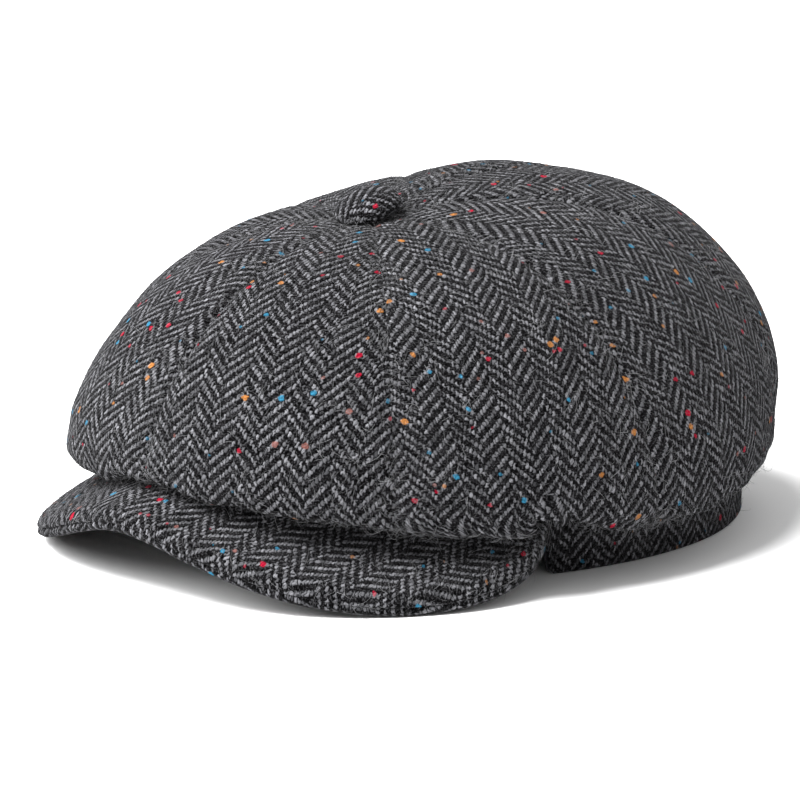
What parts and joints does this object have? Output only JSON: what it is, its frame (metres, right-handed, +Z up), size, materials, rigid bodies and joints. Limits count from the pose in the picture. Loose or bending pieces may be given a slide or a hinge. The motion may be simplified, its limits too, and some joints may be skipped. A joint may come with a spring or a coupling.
{
  "type": "newsboy cap",
  "caption": "Full panelled newsboy cap with a covered button, a short band and a stiff arched peak, in flecked herringbone tweed.",
  "frame": {"origin": "bottom centre of the cap's bounding box, on the plane it rests on", "axes": "+Z up, -Y towards the peak (front), +X towards the wearer's left"},
  "size_m": [0.2226, 0.2686, 0.1199],
  "materials": {
    "tweed": "coarse woollen herringbone tweed, charcoal and light grey with red, blue and orange flecks",
    "lining": "smooth twill lining, charcoal, slight sheen",
    "label": "blank woven label",
    "tape": "plain cotton stay tape",
    "sweatband": "ribbed cotton grosgrain",
    "felt": "needled felt padding",
    "board": "moulded polyethylene peak board",
    "steel": "pressed steel button blank",
    "thread": "waxed polyester thread"
  },
  "bodies": {
    "root": {"crown_front_left": "tweed", "crown_side_front_left": "tweed", "crown_side_back_left": "tweed", "crown_back_left": "tweed", "crown_back_right": "tweed", "crown_side_back_right": "tweed", "crown_side_front_right": "tweed", "crown_front_right": "tweed", "lining_front_left": "lining", "lining_side_front_left": "lining", "lining_side_back_left": "lining", "lining_back_left": "lining", "lining_back_right": "lining", "lining_side_back_right": "lining", "lining_side_front_right": "lining", "lining_front_right": "lining", "maker_label": "label", "outer_band": "tweed", "stay_tape": "tape", "sweatband": "sweatband", "size_tag": "label", "peak_top_cover": "tweed", "peak_under_cover": "tweed", "peak_felt": "felt", "peak_board": "board", "button_cover": "tweed", "button_shell": "steel", "button_back": "steel", "button_thread": "thread"}
  },
  "joints": []
}
